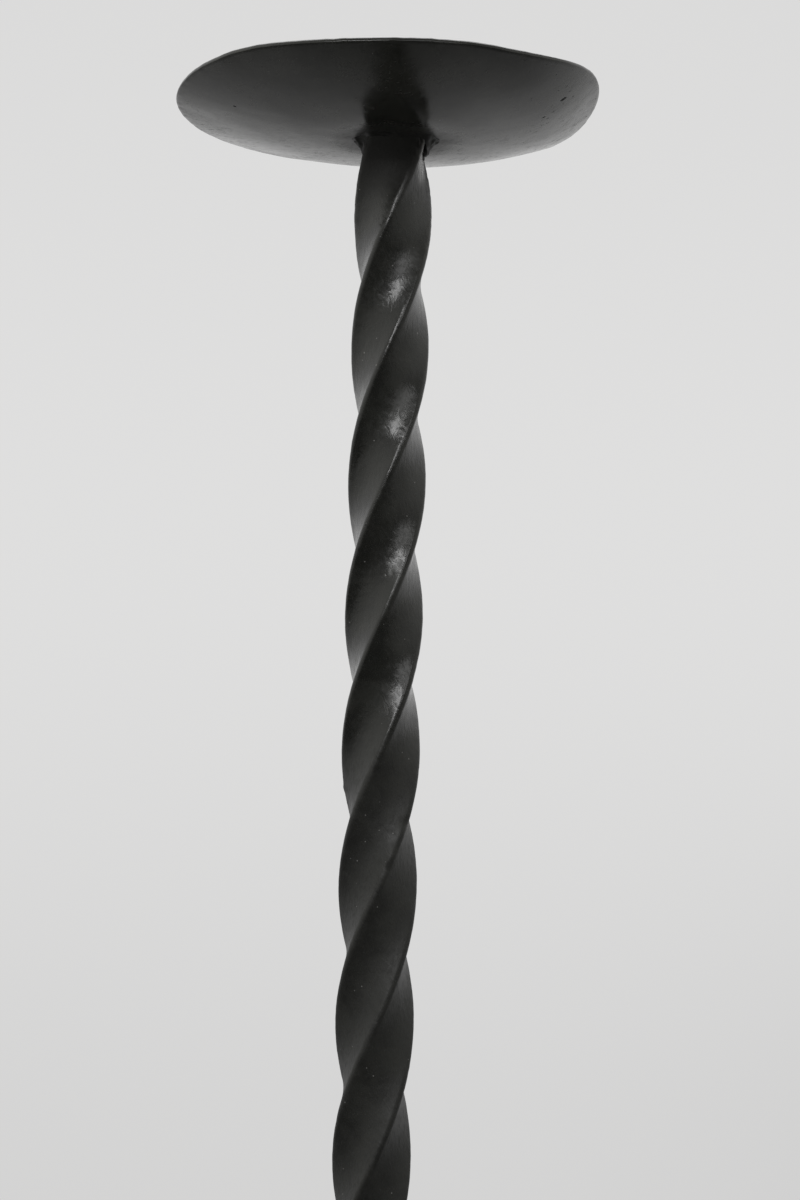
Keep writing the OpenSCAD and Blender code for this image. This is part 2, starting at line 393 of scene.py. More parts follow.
def dents(points, cell, depth, seed):
    """Shallow hammer dents side by side, as an amount to move each point inwards."""
    coarse = np.abs(lattice_noise(points, cell, seed))
    fine = np.abs(lattice_noise(points, cell / 2, seed + 3))
    return -(coarse + 0.3 * fine) * depth


def set_map(piece, name, values, kind="FLOAT"):
    """Keeps one value or place per vertex for the material to read."""
    attribute = piece.data.attributes.new(name, kind, "POINT")
    key = "value" if kind == "FLOAT" else "vector"
    attribute.data.foreach_set(key, np.asarray(values, np.float32).ravel())


def dress(piece, node, material, crease=40):
    """Gives a finished piece its material and puts it in the place of its CAD node."""
    piece.data.materials.append(material)
    piece.data.set_sharp_from_angle(angle=math.radians(crease))
    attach(piece, BODY)
    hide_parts(node)


def heading(azimuth):
    """One unit in the direction of an azimuth in degrees."""
    return np.array([math.cos(math.radians(azimuth)), math.sin(math.radians(azimuth))])


def spun(outline, angle):
    """Points turned anticlockwise by an angle."""
    c, s = math.cos(angle), math.sin(angle)
    return outline @ np.array([[c, s], [-s, c]])


def square_section(side, edge_r, edge_steps, flat_steps):
    """Outline of square bar with round edges that starts in the middle of one edge, how near
    each point is to an edge, and how far round the bar it lies."""
    corner = side / 2 - edge_r
    points, wear = [], []
    for quarter in range(4):
        turn = quarter * math.pi / 2
        for step in range(edge_steps + 1):
            round_edge = corner + edge_r * heading(step / edge_steps * 90)
            points.append(spun(round_edge, turn))
            wear.append(1.0)
        for step in range(1, flat_steps):
            along = step / flat_steps
            points.append(spun([corner * (1 - 2 * along), side / 2], turn))
            wear.append(max(0.0, 1 - EDGE_WEAR_FADE * min(along, 1 - along)))
    points = np.roll(points, -(edge_steps // 2), axis=0)
    wear = np.roll(wear, -(edge_steps // 2))
    steps = np.linalg.norm(np.diff(points, axis=0), axis=1)
    return points, wear, np.concatenate([[0], np.cumsum(steps)])


# ---- materials
class Nodes:
    """A short hand for building one material's nodes."""

    def __init__(self, tree):
        self.tree = tree
        self.tree.nodes.clear()

    def add(self, kind, inputs=(), **settings):
        node = self.tree.nodes.new(kind)
        for key, value in settings.items():
            setattr(node, key, value)
        for key, value in dict(inputs).items():
            if isinstance(value, bpy.types.NodeSocket):
                self.tree.links.new(value, node.inputs[key])
            else:
                node.inputs[key].default_value = value
        return node

    def noise(self, where, scale, detail=3.0, rough=0.55, distortion=0.0):
        return self.add("ShaderNodeTexNoise", {
            "Vector": where, "Scale": scale, "Detail": detail, "Roughness": rough,
            "Distortion": distortion}).outputs["Fac"]

    def ramp(self, value, low, high, out_low=0.0, out_high=1.0):
        return self.add("ShaderNodeMapRange", {
            "Value": value, "From Min": low, "From Max": high, "To Min": out_low,
            "To Max": out_high}, interpolation_type="SMOOTHSTEP").outputs["Result"]

    def maths(self, operation, a, b):
        return self.add("ShaderNodeMath", {0: a, 1: b}, operation=operation).outputs[0]

    def sum(self, *terms):
        """Adds up values, each given with its weight."""
        total = self.maths("MULTIPLY", *terms[0])
        for value, weight in terms[1:]:
            total = self.add("ShaderNodeMath", {0: value, 1: weight, 2: total},
                             operation="MULTIPLY_ADD").outputs[0]
        return total

    def both(self, a, b):
        """The product of two values, 1 where both of them are."""
        return self.maths("MULTIPLY", a, b)

    def either(self, *values):
        """The highest of the values."""
        top = values[0]
        for value in values[1:]:
            top = self.maths("MAXIMUM", top, value)
        return top

    def mix(self, factor, a, b):
        """A colour between two others."""
        return self.add("ShaderNodeMix", {0: factor, 6: a, 7: b}, data_type="RGBA").outputs[2]

    def blend(self, factor, a, b):
        """A shader between two others."""
        return self.add("ShaderNodeMixShader", {0: factor, 1: a, 2: b}).outputs[0]

    def light(self, colour, strength=1.0):
        return self.add("ShaderNodeEmission", {"Color": colour, "Strength": strength}).outputs[0]

    def length(self, vector):
        return self.add("ShaderNodeVectorMath", {0: vector}, operation="LENGTH").outputs["Value"]

    def stretched(self, where, scale=(1, 1, 1), turn=(0, 0, 0)):
        return self.add("ShaderNodeMapping", {
            "Vector": where, "Scale": scale, "Rotation": turn}).outputs[0]

    def part(self, vector, axis):
        return self.add("ShaderNodeSeparateXYZ", {0: vector}).outputs[axis]

    def attribute(self, name, output="Fac"):
        return self.add("ShaderNodeAttribute", attribute_name=name).outputs[output]


def grey(value, warmth=0.0):
    return (value * (1 + warmth), value, value * (1 - warmth), 1)


def olive(value):
    """The faintly green black of the paint."""
    return (value, value * 1.02, value * 0.86, 1)


SCORCHED = grey(0.035, 0.02)       # paint next to the weld
DUST_GREY = grey(0.22, 0.02)
STEM_DUST_GREY = grey(0.20, 0.02)
RUBBED_GREY = grey(0.12, 0.03)     # iron that shows at rubbed edges
# bare ground iron, set light to paint in the light that its grinding lines catch: partly a painted
# highlight
GROUND_AND_HIGHLIGHT_GREY = grey(0.185, 0.02)
PIT_BLACK = grey(0.003)
USUAL_GLOSS = 0.5
BUMP_DEPTH = 0.10 * MM
# Noise scales, in features per metre
FINE_SCALE = 1400.0
BROAD_SCALE = 130.0
STREAK_SCALE = 260.0
RUB_SCALE = 170.0
CLOUD_SCALE = 110.0
SHAKE_SCALE = 600.0
RAGGED_SCALE = 900.0
GRINDING_SCALE = 900.0
PIT_STRENGTH_SCALE = 240.0
STREAK_SLANT = (0, 0, math.radians(-38))
STREAK_SQUEEZE = (2.4, 1.0, 1.0)   # the streaks are this much longer than wide
GRINDING_STRETCH = (1.0, 1.0, 0.16)
# Dots: cells per metre, radius as a share of a cell, and share of the cells that hold a dot
DUST = (330.0, 0.13)
GRIT = (520.0, 0.16, 0.10)
GRIT_TURN = (0.4, 0.7, 0.2)
STEM_DUST = (170.0, 0.09, 0.16)
BAND_PITS = (380.0, 0.48, 0.55)
BAND_PIT_SHAKE = 5 * MM
CRUMBS = (420.0, 0.22, 0.16)
LOOSE_PITS = (90.0, 0.06, 0.12)


def ragged_spot(n, where, middle, radius):
    """1 round a place and 0 beyond the radius, with a ragged outline."""
    away = n.add("ShaderNodeVectorMath", {0: where, 1: middle}, operation="DISTANCE")
    ragged = n.noise(where, RAGGED_SCALE, 3.0, 0.6)
    ragged = n.sum((ragged, radius * 1.6), (away.outputs["Value"], 1.0))
    return n.ramp(ragged, radius * 1.9, radius * 1.3)


def specks(n, where, scale, radius, share):
    """Small round dots at random places, 1 inside a dot and 0 outside."""
    cells = n.add("ShaderNodeTexVoronoi", {"Vector": where, "Scale": scale}, feature="F1")
    inside = n.ramp(cells.outputs["Distance"], radius, radius * 0.4)
    chance = n.part(cells.outputs["Color"], 0)
    return n.both(inside, n.maths("LESS_THAN", chance, share))


def rubbed_places(n, where, wear):
    """Where the paint is rubbed off: patches along the edges that the wear map gives."""
    patches = n.ramp(n.noise(where, RUB_SCALE, 4.0, 0.7), 0.5, 0.66)
    return n.both(n.both(n.attribute("wear"), patches), wear)


def long_streaks(n, along):
    """Fine streaks that slant across the bar."""
    slant = n.stretched(along, turn=STREAK_SLANT)
    return n.noise(n.stretched(slant, STREAK_SQUEEZE), STREAK_SCALE, 1.6, 0.45, 0.8)


def iron(name, tone=0.011, rough=(0.22, 0.34), grain=1.0, wear=0.3, mottle=60.0, dusty=0.12,
         gritty=0.25, streaky=1.0, gloss=USUAL_GLOSS, grain_map=None, extra=None):
    """Satin black on forged iron: mottled, finely streaked, with dust specks and rubbed edges."""
    material = bpy.data.materials.new(name)
    material.use_nodes = True
    n = Nodes(material.node_tree)
    where = n.add("ShaderNodeTexCoord").outputs["Object"]
    patches = n.noise(where, mottle, 4.0, 0.6, 0.4)
    fine = n.noise(where, FINE_SCALE, 2.0, 0.5)
    streaks = long_streaks(n, n.attribute(grain_map, "Vector") if grain_map else where)
    broad = n.noise(where, BROAD_SCALE, 2.0, 0.5)
    dust = specks(n, where, *DUST, dusty)
    grit = specks(n, n.stretched(where, turn=GRIT_TURN), *GRIT)
    rubbed = rubbed_places(n, where, wear)
    colour = n.mix(n.ramp(patches, 0.35, 0.7), olive(tone * 0.75), olive(tone * 1.4))
    colour = n.mix(n.both(dust, 0.6), colour, DUST_GREY)
    colour = n.mix(n.both(rubbed, 0.7), colour, RUBBED_GREY)
    sheen = n.ramp(patches, 0.3, 0.75, *rough)
    sheen = n.maths("ADD", sheen, n.ramp(streaks, 0.45, 0.75, -0.03, 0.07))
    height = n.sum((fine, 0.08), (streaks, streaky), (broad, 1.5), (grit, -gritty), (dust, 0.2))
    look = {"Metallic": rubbed, "Specular IOR Level": gloss}
    if extra:
        colour, sheen, height, look["Specular IOR Level"] = extra(n, where, colour, sheen, height)
    look["Base Color"], look["Roughness"] = colour, sheen
    look["Normal"] = n.add("ShaderNodeBump", {
        "Height": height, "Strength": 1.0, "Distance": BUMP_DEPTH * grain}).outputs["Normal"]
    shader = n.add("ShaderNodeBsdfPrincipled", look)
    n.add("ShaderNodeOutputMaterial", {0: shader.outputs[0]})
    return material


def shaken(n, where, amount):
    """Places moved about a little, so that round dots turn ragged."""
    shake = n.add("ShaderNodeTexNoise", {"Vector": where, "Scale": SHAKE_SCALE, "Detail": 3.0})
    moves = {0: shake.outputs["Color"], 1: (amount, amount, 0), 2: where}
    return n.add("ShaderNodeVectorMath", moves, operation="MULTIPLY_ADD").outputs[0]


def band_pits(n, flat):
    """Ragged pits of uneven strength in their slanting band, and none outside it."""
    pits = specks(n, shaken(n, flat, BAND_PIT_SHAKE), *BAND_PITS)
    strength = n.ramp(n.noise(flat, PIT_STRENGTH_SCALE, 2.0), 0.4, 0.6, 0.3, 1.0)
    moved = n.add("ShaderNodeMapping", {
        "Vector": flat, "Location": PIT_BAND, "Rotation": (0, 0, PIT_BAND_TURN),
        "Scale": PIT_BAND_SIZE}, vector_type="TEXTURE").outputs[0]
    return n.both(n.both(pits, strength), n.ramp(n.length(moved), 1.0, 0.7))


def pan_marks(n, where, colour, sheen, height):
    """Dark pits in their band, a few loose ones, grime towards the pan's right side, and
    duller paint next to the weld and at the right tip."""
    flat = n.stretched(where, (1.0, 1.0, 0.0))
    side = n.ramp(n.part(where, 0), GRIME_FROM, GRIME_FULL)
    dirt = n.either(band_pits(n, flat), n.both(specks(n, flat, *CRUMBS), side),
                    specks(n, flat, *LOOSE_PITS), ragged_spot(n, flat, RIGHT_PIT, RIGHT_PIT_R),
                    ragged_spot(n, flat, LEFT_PIT, LEFT_PIT_R))
    cloud = n.both(n.ramp(n.noise(flat, CLOUD_SCALE, 4.0, 0.65), 0.45, 0.75), side)
    burnt = n.ramp(n.length(flat), SCORCH_END, SCORCH_FROM)
    tip = n.ramp(n.part(where, 0), DULL_TIP - DULL_TIP_FADE, DULL_TIP)
    colour = n.mix(n.both(burnt, 0.4), colour, SCORCHED)
    colour = n.mix(n.both(dirt, 0.9), colour, PIT_BLACK)
    sheen = n.sum((sheen, 1.0), (dirt, 0.5), (cloud, 0.10), (burnt, 0.20))
    gloss = n.sum((dirt, -0.30), (burnt, -0.15), (tip, -0.18), (1.0, USUAL_GLOSS))
    return colour, sheen, n.sum((dirt, -1.2), (height, 1.0)), gloss


def stem_marks(n, where, colour, sheen, height):
    """Dust on the stem, the streaky place beside the weld that was ground, with its grinding lines
    lightened as a painted highlight, and duller paint next to the weld and low down."""
    z = n.part(where, 2)
    dusty = n.both(n.ramp(z, PAN_Z - DUST_LOW, PAN_Z - DUST_LOW + DUST_FADE),
                   n.ramp(z, PAN_Z - DUST_TOP + DUST_FADE, PAN_Z - DUST_TOP))
    dust = n.both(specks(n, where, *STEM_DUST), dusty)
    bare = n.attribute("ground")
    lines = n.noise(n.stretched(where, GRINDING_STRETCH), GRINDING_SCALE, 3.0, 0.6)
    highlit_ground_lines = n.both(bare, n.ramp(lines, 0.42, 0.62))
    dull = n.ramp(z, PAN_Z - DULL_FROM, PAN_Z - DULL_FULL)
    burnt = n.ramp(z, PAN_Z - BURNT_END, PAN_Z - BURNT_FROM)
    burnt = n.both(burnt, n.sum((bare, -1.0), (1.0, 1.0)))
    colour = n.mix(n.both(dust, 0.8), colour, STEM_DUST_GREY)
    colour = n.mix(n.both(burnt, 0.4), colour, SCORCHED)
    # painted highlight: the ground patch's grinding lines are made light grey, besides being bare
    # iron
    colour = n.mix(highlit_ground_lines, colour, GROUND_AND_HIGHLIGHT_GREY)
    sheen = n.sum((dull, 0.24), (burnt, 0.25), (sheen, 1.0))
    gloss = n.sum((burnt, -0.25), (1.0, USUAL_GLOSS))
    height = n.sum((n.both(bare, lines), 2.5), (height, 1.0))
    return colour, sheen, height, gloss


# ---- stem
RING_STEP = 1.4 * MM
SECTION_STEPS = (8, 12)            # points round an edge and along a flat of the section
FULLER_OVER = 40 * MM              # the section grows fuller over this much of the twist's start
EDGE_RUB = 0.3


def stem_turn(z):
    """Direction of the bar's section at a height."""
    return STEM_FOOT_AZ + 2 * math.pi * max(z - TWIST_LOW, 0) / TURN_LEN


def on_edge(z, near):
    """The point of the stem's edge at a height that lies nearest to an azimuth in degrees."""
    first = math.degrees(stem_turn(z)) + 45
    azimuth = first + 90 * round((near - first) / 90)
    reach = math.sqrt(2) * (ROLLED_SIDE / 2 - ROLLED_EDGE_R) + ROLLED_EDGE_R
    return np.append(reach * heading(azimuth), z)


def spot(points, place, radius):
    """1 at a place, fading out round it."""
    return bell(np.linalg.norm(points - place, axis=1), radius)


def edge_marks(p, edge):
    """Notches, nicks and the burr of the stem's edges: how far out, and where the paint is off."""
    depth = EDGE_DEPTH + TOP_EDGE_MORE * ease(p[:, 2], PAN_Z - TOP_EDGE_FROM, PAN_Z - TOP_EDGE_FULL)
    relief = edge * lattice_noise(p, *EDGE_NOTCHES) * depth
    rubbed = edge * EDGE_RUB
    for drop in NICK_DROPS:
        nick = spot(p, on_edge(PAN_Z - drop, NICK_AZ), NICK_R)
        relief -= NICK_DEPTH * nick
        rubbed = np.maximum(rubbed, nick)
    relief += BURR_HEIGHT * spot(p, on_edge(PAN_Z - BURR_DROP, BURR_AZ), BURR_R)
    return relief, rubbed


def make_stem(material):
    outline, edge, round_bar = square_section(STEM_SIDE, STEM_EDGE_R, *SECTION_STEPS)
    rolled = square_section(ROLLED_SIDE, ROLLED_EDGE_R, *SECTION_STEPS)[0]
    sides = len(outline)
    heights = np.linspace(STEM_LOW, PAN_Z, round((PAN_Z - STEM_LOW) / RING_STEP))
    rings = []
    for z in heights:
        share = ease(z, TWIST_LOW, TWIST_LOW + FULLER_OVER)
        section = outline * (1 - share) + rolled * share
        rings.append(np.column_stack([spun(section, stem_turn(z)), np.full(sides, z)]))
    piece = skin("stem_bar", rings, ends="strip")
    p = points_of(piece)
    cell, seed = STEM_WAVES
    grain = 0.2 * lattice_noise(p, cell / 8, seed + 2)
    move_out(piece, (waves(p, cell, seed) + grain) * STEM_WAVE_HEIGHT)
    relief, rubbed = edge_marks(points_of(piece), np.tile(edge, len(heights)))
    move_out(piece, relief)
    set_map(piece, "wear", rubbed)
    set_map(piece, "bar_map", np.column_stack([
        np.tile(round_bar, len(heights)), np.repeat(heights, sides), np.zeros(len(rubbed))]),
        "FLOAT_VECTOR")
    from_ground = points_of(piece) - [GROUND_X, GROUND_Y, PAN_Z - GROUND_DROP]
    reach = np.linalg.norm(from_ground / GROUND_REACH, axis=1)
    set_map(piece, "ground", 1 - ease(reach, 0.5, 1.2))
    dress(piece, "stem", material, 60)


# ---- pan
LIP_BULGE = 0.18                   # how far the lip is rounded out, as a share of the sheet
RIM_RUB = 0.006                    # half width of the rubbed rim, as a share of the radius


def pan_profile():
    """The sheet's section as a closed line of distances and heights: outside, lip, inside."""
    run = PAN_R - PAN_FLOOR_R
    arc_r = (run ** 2 + PAN_DEPTH ** 2) / (2 * PAN_DEPTH)
    inner_r = arc_r - PAN_SHEET
    rim = math.asin(run / arc_r)
    flat = np.linspace(HOLE_R, PAN_FLOOR_R, 10, endpoint=False)
    angles = np.linspace(0, rim, 60)
    outer = [(r, 0.0) for r in flat]
    outer += [(PAN_FLOOR_R + arc_r * math.sin(a), arc_r * (1 - math.cos(a))) for a in angles]
    inner = [(r, PAN_SHEET) for r in flat]
    inner += [(PAN_FLOOR_R + inner_r * math.sin(a), arc_r - inner_r * math.cos(a)) for a in angles]
    low, high = np.array(outer[-1]), np.array(inner[-1])
    ahead = np.array([math.cos(rim), math.sin(rim)]) * PAN_SHEET * LIP_BULGE
    lip = [(low + high) / 2 - (high - low) / 2 * math.cos(a) + ahead * math.sin(a)
           for a in np.linspace(0, math.pi, 7)[1:-1]]
    return outer + lip + inner[::-1]


def bend_rim(p, share, azimuth):
    """The rim's rise, kink and sag, and the curl of its right end."""
    fade = share ** BEND_POWER
    p[:, 2] += RISE_UP * bell(angle_off(azimuth, RISE_AZ), RISE_HALF) * fade
    p[:, 2] += KINK_UP * bell(angle_off(azimuth, KINK_AZ), KINK_HALF) * fade
    p[:, 2] -= SAG_DOWN * bell(angle_off(azimuth, SAG_AZ), SAG_HALF) * fade
    fold_way = heading(FOLD_AZ)
    beyond = past(p[:, :2] @ fold_way - FOLD_FROM, FOLD_SOFT)
    p[:, 2] += FOLD_SLOPE * beyond
    p[:, :2] -= FOLD_IN * beyond[:, None] * fold_way


def press_sheet(p, share, azimuth):
    """The creases beside the weld, and the fuller back half with its small bulge."""
    for middle in CREASE_AZIMUTHS:
        off = np.radians(angle_off(azimuth, middle))
        across = share * PAN_R * np.sin(off)
        reach = ease(share, *CREASE_START) * (1 - ease(share, *CREASE_FADE)) * (np.cos(off) > 0)
        p[:, 2] -= CREASE_DEPTH * bell(across, CREASE_HALF) * reach
    back = ease(p[:, 1], BACK_FROM, BACK_FULL)
    p[:, 2] -= BACK_BELLY * bell(share - BELLY_AT, BELLY_HALF) * back
    bulge = bell(angle_off(azimuth, BULGE_AZ), BULGE_HALF) * bell(share - BULGE_AT, BULGE_SPAN)
    p[:, 2] -= BULGE_OUT * bulge


def bend_pan(p):
    """Bends, tilt and hammer waves of the sheet, which all fade towards its flat middle."""
    share = np.hypot(p[:, 0], p[:, 1]) / PAN_R
    azimuth = np.degrees(np.arctan2(p[:, 1], p[:, 0]))
    bend_rim(p, share, azimuth)
    press_sheet(p, share, azimuth)
    settle = ease(share, *SETTLE)
    p[:, 2] -= p[:, 0] * math.tan(PAN_TILT) * settle
    p[:, 0] += PAN_SHIFT_X * settle
    flat = p * [1, 1, 0]
    for height, size, seed in (PAN_WAVES, PAN_RIPPLES):
        p[:, 2] += settle * height * lattice_noise(flat, size, seed)
    height, size, seed = RIM_NICKS
    p[:, 2] += ease(share, RIM_STARTS, 1.0) * height * lattice_noise(flat, size, seed)
    return share


def make_pan(material):
    piece = turned("pan_dish", pan_profile(), 420, closed=True)
    p = points_of(piece)
    share = bend_pan(p)
    p[:, 2] += PAN_Z
    place_points(piece, p)
    set_map(piece, "wear", bell(share - 1.0, RIM_RUB))
    dress(piece, "drip_pan", material, 50)


# ---- weld
# Sizes along the bead are shares of its full leg; azimuths and half widths are in degrees
WELD_LEAST = 0.30                  # between the ears
WELD_LIMITS = (0.08, 1.5)
LEFT_EAR_AZ = 180
RIGHT_EAR_AZ = -6
EAR_HALF = 28
EAR_MORE = 1.15                    # what an ear adds to the least size
BACK_AZ = 90
BACK_HALF = 40
BACK_MORE = 0.25                   # what the bead's back adds
PIT_AZ = -91
PIT_HALF = 8
PIT_LESS = 0.28                    # what is missing at the small pit in front
WELD_RIPPLES = ((0.07, 3.2 * MM, 12), (0.08, 8 * MM, 13))      # height, size and seed
WELD_HOLLOW = 2.5                  # over 2 the bead's face is hollow, under 2 it is round
WELD_TALLER = 1.3                  # how far it reaches down the stem for each unit out
WELD_BEHIND = 1.25                 # the same inside the stem, where the bead is sunk
WELD_SUNK = 0.9 * MM
WELD_LIFT = 0.25 * MM              # how far it is sunk into the pan
LUMPS = (2.6 * MM, 14)             # size and seed
LUMP_HEIGHT = 0.6 * MM
LUMP_FADE = 0.6 * MM               # the lumps fade out this close under the pan
SMALL_LUMPS = (1.2 * MM, 15)
SMALL_LUMP_HEIGHT = 0.25 * MM


def weld_sizes(base):
    """How far the bead stands out at each place, as a share of its full leg."""
    azimuth = np.degrees(np.arctan2(base[:, 1], base[:, 0]))
    flat = np.column_stack([base, np.zeros(len(base))])
    ripple = sum(height * lattice_noise(flat, cell, seed) for height, cell, seed in WELD_RIPPLES)
    size = WELD_LEAST + BACK_MORE * bell(angle_off(azimuth, BACK_AZ), BACK_HALF)
    for ear_azimuth in (LEFT_EAR_AZ, RIGHT_EAR_AZ):
        size += EAR_MORE * bell(angle_off(azimuth, ear_azimuth), EAR_HALF)
    size -= PIT_LESS * bell(angle_off(azimuth, PIT_AZ), PIT_HALF)
    return np.clip(size + ripple * size * 2, *WELD_LIMITS)


def weld_rings(base, normal, size):
    """Rings round the stem from the bead's lower inner edge over its face and back inside."""
    sunk = base - normal * WELD_SUNK
    rings = [np.column_stack([sunk, PAN_Z - size * WELD_BEHIND])]
    for t in np.linspace(math.pi / 2, 0, 14):
        out = (size * math.cos(t) ** WELD_HOLLOW)[:, None]
        down = size * WELD_TALLER * math.sin(t) ** WELD_HOLLOW
        rings.append(np.column_stack([base + normal * out, PAN_Z - down]))
    top = np.full(len(base), PAN_Z + WELD_LIFT)
    rings[-1][:, 2] = top
    return rings + [np.column_stack([sunk, top])]


def make_weld(material):
    """A lumpy bead round the top of the stem: slight in front, with full ears at both sides."""
    outline = square_section(ROLLED_SIDE, ROLLED_EDGE_R, 8, 30)[0]
    ahead = np.roll(outline, -1, axis=0) - np.roll(outline, 1, axis=0)
    normal = np.column_stack([ahead[:, 1], -ahead[:, 0]])
    normal /= np.linalg.norm(normal, axis=1)[:, None]
    base, normal = spun(outline, stem_turn(PAN_Z)), spun(normal, stem_turn(PAN_Z))
    share = weld_sizes(base)
    rings = weld_rings(base, normal, share * WELD_LEG)
    piece = skin("weld_bead", rings, closed=True)
    p = points_of(piece)
    lumps, small = lattice_noise(p, *LUMPS), lattice_noise(p, *SMALL_LUMPS)
    fullness = np.tile(share, len(rings)) ** 2 * ease(PAN_Z - p[:, 2], 0, LUMP_FADE)
    move_out(piece, (lumps * LUMP_HEIGHT + small * SMALL_LUMP_HEIGHT) * fullness)
    set_map(piece, "wear", np.clip(lumps, 0, 1))
    dress(piece, "pan_weld", material, 70)


# ---- candle rest and pricket
def make_rest(material):
    bottom_seat = REST_TOP - (REST_SEAT_R - HOLE_R)
    line = [(HOLE_R, bottom_seat), (HOLE_R, REST_LOW), (REST_R, REST_LOW), (REST_R, REST_TOP),
            (REST_SEAT_R, REST_TOP), (HOLE_R, bottom_seat)]
    piece = turned("rest_plate", dense(rounded(line, 0.7 * MM), 1.5 * MM)[:-1], 120, closed=True)
    p = points_of(piece)
    outer = np.hypot(p[:, 0], p[:, 1])
    free = ease(outer, 9 * MM, 12 * MM) * (p[:, 2] > REST_LOW + 1 * MM)
    move_out(piece, dents(p, *REST_DENTS) * free)
    set_map(piece, "wear", bell(outer - REST_R, 0.8 * MM))
    dress(piece, "candle_rest", material)


def make_pricket(material):
    straight_top = REST_TOP + SPIKE_STRAIGHT
    line = [(SHANK_R, PAN_Z - SHANK_LEN), (SHANK_R, REST_TOP - (SHOULDER_R - SHANK_R)),
            (SHOULDER_R, REST_TOP), (SPIKE_R, REST_TOP), (SPIKE_R, straight_top),
            (SPIKE_TIP_R, SPIKE_TOP)]
    piece = turned("pricket_spike", dense(rounded(line, 0.5 * MM), 1.2 * MM), 64)
    p = points_of(piece)
    cone = ease(p[:, 2], straight_top, straight_top + 4 * MM) * ease(SPIKE_TOP - p[:, 2], 0, 3 * MM)
    move_out(piece, dents(p, *PRICKET_DENTS) * cone)
    set_map(piece, "wear", ease(p[:, 2], straight_top + 8 * MM, SPIKE_TOP))
    dress(piece, "pricket", material)


# ---- legs and feet
def leg_line():
    """Middle line of a leg from its top down to its foot: distance out, height and lean."""
    leg_r = (STEM_SIDE + LEG_SIDE) / 2
    bends = UPPER_BEND_R + LOWER_BEND_R
    slope = (LEG_REACH - leg_r - bends * (1 - math.cos(LEG_LEAN))) / math.sin(LEG_LEAN)
    bend_z = STEM_LOW + LEG_DROP
    heel_z = bend_z - bends * math.sin(LEG_LEAN) - slope * math.cos(LEG_LEAN)
    line = [(leg_r, z, 0.0) for z in np.linspace(LEG_TOP, bend_z, 46, endpoint=False)]
    line += [(leg_r + UPPER_BEND_R * (1 - math.cos(a)), bend_z - UPPER_BEND_R * math.sin(a), a)
             for a in np.linspace(0, LEG_LEAN, 60)]
    line += [(LEG_REACH - LOWER_BEND_R * (1 - math.cos(a)), heel_z + LOWER_BEND_R * math.sin(a), a)
             for a in np.linspace(LEG_LEAN, 0, 48)]
    return line + [(LEG_REACH, z, 0.0) for z in np.linspace(heel_z, FOOT_TOP, 6)[1:]]


def make_leg(name, azimuth, material):
    outline, edge, _ = square_section(LEG_SIDE, LEG_EDGE_R, 4, 8)
    side, radial = outline[:, 0], outline[:, 1]
    bevel_from = STEM_SIDE / 2 + LEG_SIDE - LEG_TOP_BEVEL
    rings = []
    for r, z, lean in leg_line():
        out = r + radial * math.cos(lean)
        high = z + radial * math.sin(lean)
        high = np.minimum(high, LEG_TOP - np.maximum(out - bevel_from, 0))
        rings.append(np.column_stack([out, side, high]))
    round_off = TENON_R / np.hypot(side, radial)
    for z in (FOOT_TOP, TENON_SHORT):
        rings.append(np.column_stack([LEG_REACH + radial * round_off, side * round_off,
                                      np.full(len(side), z)]))
    to_corner = np.array(Matrix.Rotation(math.radians(azimuth), 3, "Z")).T
    piece = skin(name + "_bar", np.array(rings) @ to_corner, ends="strip")
    p = points_of(piece)
    above_foot = ease(p[:, 2], FOOT_TOP, FOOT_TOP + 2 * MM)
    move_out(piece, waves(p, *LEG_WAVES) * above_foot * LEG_WAVE_HEIGHT)
    set_map(piece, "wear", np.tile(edge, len(rings)))
    dress(piece, name, material, 50)


def make_foot(name, azimuth, material):
    at = LEG_REACH * heading(azimuth)
    line = [(HOLE_R, 0), (FOOT_R, 0), (FOOT_R, FOOT_TOP - FOOT_BEVEL),
            (FOOT_R - FOOT_BEVEL, FOOT_TOP), (HOLE_R, FOOT_TOP)]
    piece = turned(name + "_penny", dense(rounded(line, 1.0 * MM), 1.2 * MM), 110, True, at)
    p = points_of(piece)
    outer = np.hypot(p[:, 0] - at[0], p[:, 1] - at[1])
    free = ease(p[:, 2], 1.5 * MM, 3 * MM) * ease(outer, HOLE_R, HOLE_R + 1 * MM)
    move_out(piece, dents(p, *FOOT_DENTS) * free)
    set_map(piece, "wear", bell(outer - FOOT_R + FOOT_BEVEL / 2, 1.6 * MM) * free)
    dress(piece, name, material)


# ---- collars, rivets and finial
SEAM_HALF = 0.5 * MM               # a groove at the collar's back, where its ends meet
SEAM_DEPTH = 0.5 * MM


def make_collar(name, seed, material):
    low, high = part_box(name)
    inner = high.x - COLLAR_T - COLLAR_BULGE
    middle, half = (low.z + high.z) / 2, (high.z - low.z) / 2
    face = [(inner + COLLAR_T + COLLAR_BULGE * math.cos(a), middle + half * math.sin(a))
            for a in np.linspace(-math.pi / 2, math.pi / 2, 18)]
    line = dense([(inner, low.z)] + face + [(inner, high.z)], 1.4 * MM)
    piece = turned(name + "_band", line, 180, closed=True)
    p = points_of(piece)
    outside = ease(np.hypot(p[:, 0], p[:, 1]), inner + 0.5 * MM, inner + COLLAR_T)
    seam = bell(p[:, 0], SEAM_HALF) * (p[:, 1] > 0) * SEAM_DEPTH
    move_out(piece, (dents(p, *COLLAR_DENTS, seed) - seam) * outside)
    set_map(piece, "wear", bell(np.abs(p[:, 2] - middle) - half, 1.2 * MM) * outside)
    dress(piece, name, material, 60)


